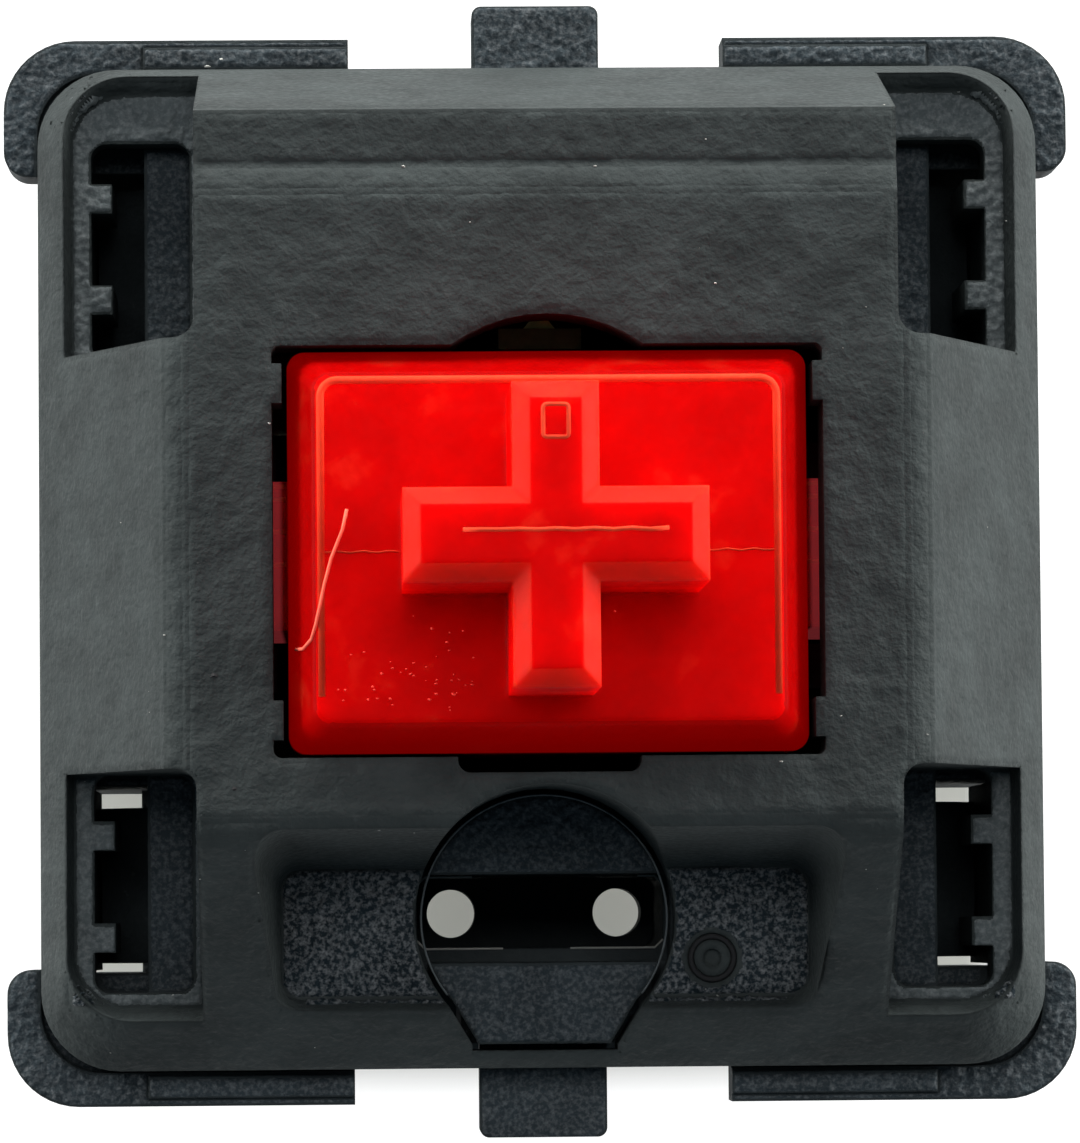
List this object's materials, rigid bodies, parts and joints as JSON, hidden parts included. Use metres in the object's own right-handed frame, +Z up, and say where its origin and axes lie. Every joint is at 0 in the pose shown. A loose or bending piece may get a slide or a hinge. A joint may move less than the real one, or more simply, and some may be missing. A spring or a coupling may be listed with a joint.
{
  "type": "mechanical keyboard switch",
  "caption": "Plate-mounted mechanical key switch: black two-part housing, sprung red stem with a cross for the keycap, leaf contact and solder pins.",
  "frame": {"origin": "root of the centre post, on the plane of the circuit board that the base sits on", "axes": "+Z up along the stem to the keycap, +Y towards the contact pins, -Y towards the lamp seat, +X to the right of the lamp seat as seen from above"},
  "size_m": [0.0156, 0.0166, 0.0185],
  "materials": {
    "black_housing": "fine matt texture",
    "red_stem": "smooth, slightly translucent",
    "spring_steel": "bright drawn wire",
    "contact_metal": "bright stamped strip",
    "contact_gold": "bright"
  },
  "bodies": {
    "base": {"lower_housing": "black_housing", "upper_housing": "black_housing", "fixed_contact": "contact_metal", "fixed_point": "contact_gold", "moving_terminal": "contact_metal", "return_spring": "spring_steel"},
    "key": {"stem": "red_stem"},
    "leaf": {"contact_leaf": "contact_metal", "moving_point": "contact_gold"}
  },
  "joints": [
    {"name": "key_press", "type": "slide", "parent": "base", "child": "key", "axis": [0, 0, -1], "range_m": [0, 0.004], "stiffness_N_per_m": 75, "springref_m": -0.004, "deforming": ["return_spring"]},
    {"name": "leaf_flex", "type": "hinge", "parent": "base", "child": "leaf", "pos_m": [0, 0.00486, 0.0013], "axis": [1, 0, 0], "range_deg": [0, 2.29]}
  ],
  "couplings": [
    {"joint": "leaf_flex", "follows": "key_press", "rad_per_m": 9.804}
  ]
}
